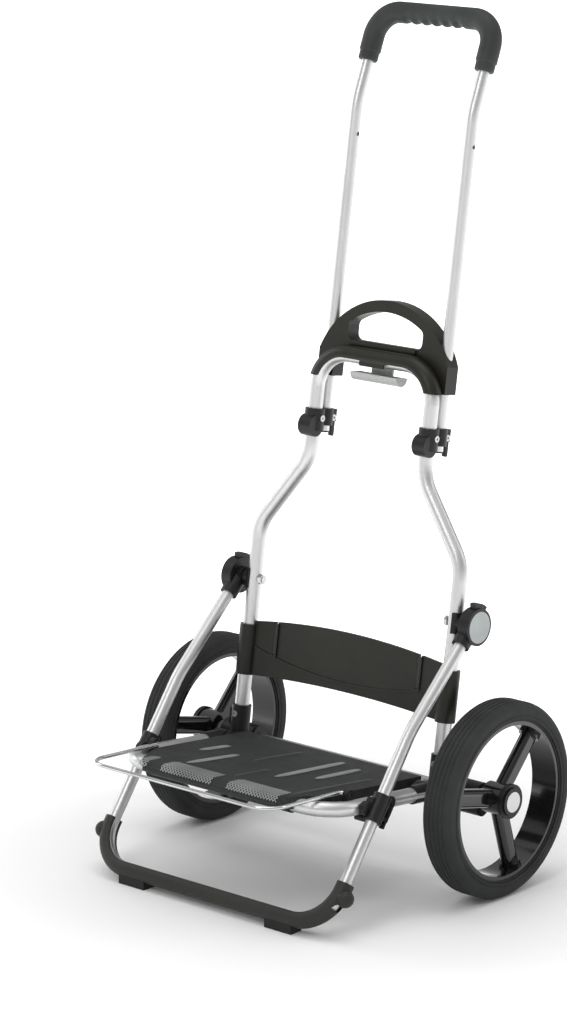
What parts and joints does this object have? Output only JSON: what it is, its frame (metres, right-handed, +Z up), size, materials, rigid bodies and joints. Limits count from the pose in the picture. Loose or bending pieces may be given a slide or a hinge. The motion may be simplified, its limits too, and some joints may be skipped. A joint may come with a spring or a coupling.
{
  "type": "folding luggage cart",
  "caption": "Folding two-wheeled luggage cart: bent tube frame, pull-out handle with soft grip, carry handle, flat deck with wire bail and a fold-in foot frame.",
  "frame": {"origin": "on the floor, under the middle of the cart's overall width and length", "axes": "+X to the cart's right side seen from behind, -Y towards the deck and the foot frame, +Z up"},
  "size_m": [0.5264, 0.5092, 1.0791],
  "materials": {
    "anodised_tube": "satin",
    "olive_plastic": "satin",
    "black_plastic": "satin",
    "grey_plastic": "textured",
    "light_grey_plastic": "speckled",
    "soft_grip": "soft matt",
    "deck_mesh": "woven",
    "tyre_rubber": "matt",
    "rim_gloss": "gloss",
    "bright_steel": "bright",
    "steel": "zinc",
    "cap_grey": "satin"
  },
  "bodies": {
    "frame": {"main_frame": "anodised_tube", "carry_handle_front": "olive_plastic", "carry_handle_rear": "olive_plastic", "carry_bead": "olive_plastic", "saddle_cover": "olive_plastic", "carry_handle_screws": "black_plastic", "hook_clip_left_inner": "black_plastic", "hook_clip_left_outer": "black_plastic", "hook_clip_right_inner": "black_plastic", "hook_clip_right_outer": "black_plastic", "hook_clip_screws": "steel", "back_panel": "olive_plastic", "panel_screws": "steel", "axle_bracket_left": "black_plastic", "axle_bracket_right": "black_plastic", "bracket_screws": "steel", "axle": "steel", "pivot_pins": "steel", "hinge_boss_left": "black_plastic", "hinge_boss_right": "black_plastic", "hinge_bolts": "steel", "hinge_nuts": "steel"},
    "legs": {"leg_frame": "anodised_tube", "foot_shoe": "grey_plastic", "foot_pads": "black_plastic", "leg_clip_left": "black_plastic", "leg_clip_right": "black_plastic", "hinge_housing_left": "black_plastic", "hinge_housing_right": "black_plastic", "hinge_cap_left": "cap_grey", "hinge_cap_right": "cap_grey"},
    "hinge_tab_l": {"hinge_tab_left": "grey_plastic"},
    "hinge_tab_r": {"hinge_tab_right": "grey_plastic"},
    "platform": {"platform_tube": "anodised_tube", "platform_knuckle_left": "black_plastic", "platform_knuckle_right": "black_plastic", "front_sleeve": "black_plastic", "deck": "deck_mesh", "deck_brackets": "light_grey_plastic", "bail_lugs": "black_plastic"},
    "bail": {"wire_bail": "bright_steel"},
    "handle": {"handle_tube": "anodised_tube", "handle_grip": "soft_grip", "handle_plugs": "black_plastic"},
    "trigger": {"release_bar": "light_grey_plastic"},
    "pin_l": {"lock_pin_left": "steel"},
    "pin_r": {"lock_pin_right": "steel"},
    "wheel_l": {"tyre_left": "tyre_rubber", "rim_left": "rim_gloss", "hub_cap_left": "black_plastic", "hub_disc_left": "bright_steel", "wheel_bushes_left": "steel"},
    "wheel_r": {"tyre_right": "tyre_rubber", "rim_right": "rim_gloss", "hub_cap_right": "black_plastic", "hub_disc_right": "bright_steel", "wheel_bushes_right": "steel"},
    "button_l": {"wheel_button_left": "grey_plastic"},
    "button_r": {"wheel_button_right": "grey_plastic"}
  },
  "joints": [
    {"name": "leg_fold", "type": "hinge", "parent": "frame", "child": "legs", "pos_m": [0, 0.08046, 0.33826], "axis": [1, 0, 0], "range_deg": [0, 35]},
    {"name": "hinge_tab_left_slide", "type": "slide", "parent": "legs", "child": "hinge_tab_l", "axis": [0, -0.342, -0.9397], "range_m": [0, 0.003], "stiffness_N_per_m": 600, "springref_m": -0.001},
    {"name": "hinge_tab_right_slide", "type": "slide", "parent": "legs", "child": "hinge_tab_r", "axis": [0, -0.342, -0.9397], "range_m": [0, 0.003], "stiffness_N_per_m": 600, "springref_m": -0.001},
    {"name": "platform_fold", "type": "hinge", "parent": "frame", "child": "platform", "pos_m": [0, 0.02166, 0.1338], "axis": [-1, 0, 0], "range_deg": [0, 86]},
    {"name": "bail_flip", "type": "hinge", "parent": "platform", "child": "bail", "pos_m": [0, -0.1183, 0.1621], "axis": [-1, 0, 0], "range_deg": [0, 166]},
    {"name": "handle_slide", "type": "slide", "parent": "frame", "child": "handle", "axis": [0, -0.1513, -0.9885], "range_m": [0, 0.275]},
    {"name": "release_press", "type": "slide", "parent": "frame", "child": "trigger", "axis": [0, 0.1513, 0.9885], "range_m": [0, 0.004], "stiffness_N_per_m": 900, "springref_m": -0.002},
    {"name": "lock_pin_left_slide", "type": "slide", "parent": "frame", "child": "pin_l", "axis": [1, 0, 0], "range_m": [0, 0.0034]},
    {"name": "lock_pin_right_slide", "type": "slide", "parent": "frame", "child": "pin_r", "axis": [-1, 0, 0], "range_m": [0, 0.0034]},
    {"name": "wheel_left_spin", "type": "hinge", "parent": "frame", "child": "wheel_l", "pos_m": [-0.237, 0.07919, 0.125], "axis": [1, 0, 0], "continuous": true},
    {"name": "wheel_right_spin", "type": "hinge", "parent": "frame", "child": "wheel_r", "pos_m": [0.237, 0.07919, 0.125], "axis": [1, 0, 0], "continuous": true},
    {"name": "wheel_button_left_press", "type": "slide", "parent": "frame", "child": "button_l", "axis": [1, 0, 0], "range_m": [0, 0.002], "stiffness_N_per_m": 600, "springref_m": -0.001},
    {"name": "wheel_button_right_press", "type": "slide", "parent": "frame", "child": "button_r", "axis": [-1, 0, 0], "range_m": [0, 0.002], "stiffness_N_per_m": 600, "springref_m": -0.001}
  ],
  "couplings": [
    {"joint": "lock_pin_left_slide", "follows": "release_press", "ratio": 0.8},
    {"joint": "lock_pin_right_slide", "follows": "release_press", "ratio": 0.8}
  ]
}
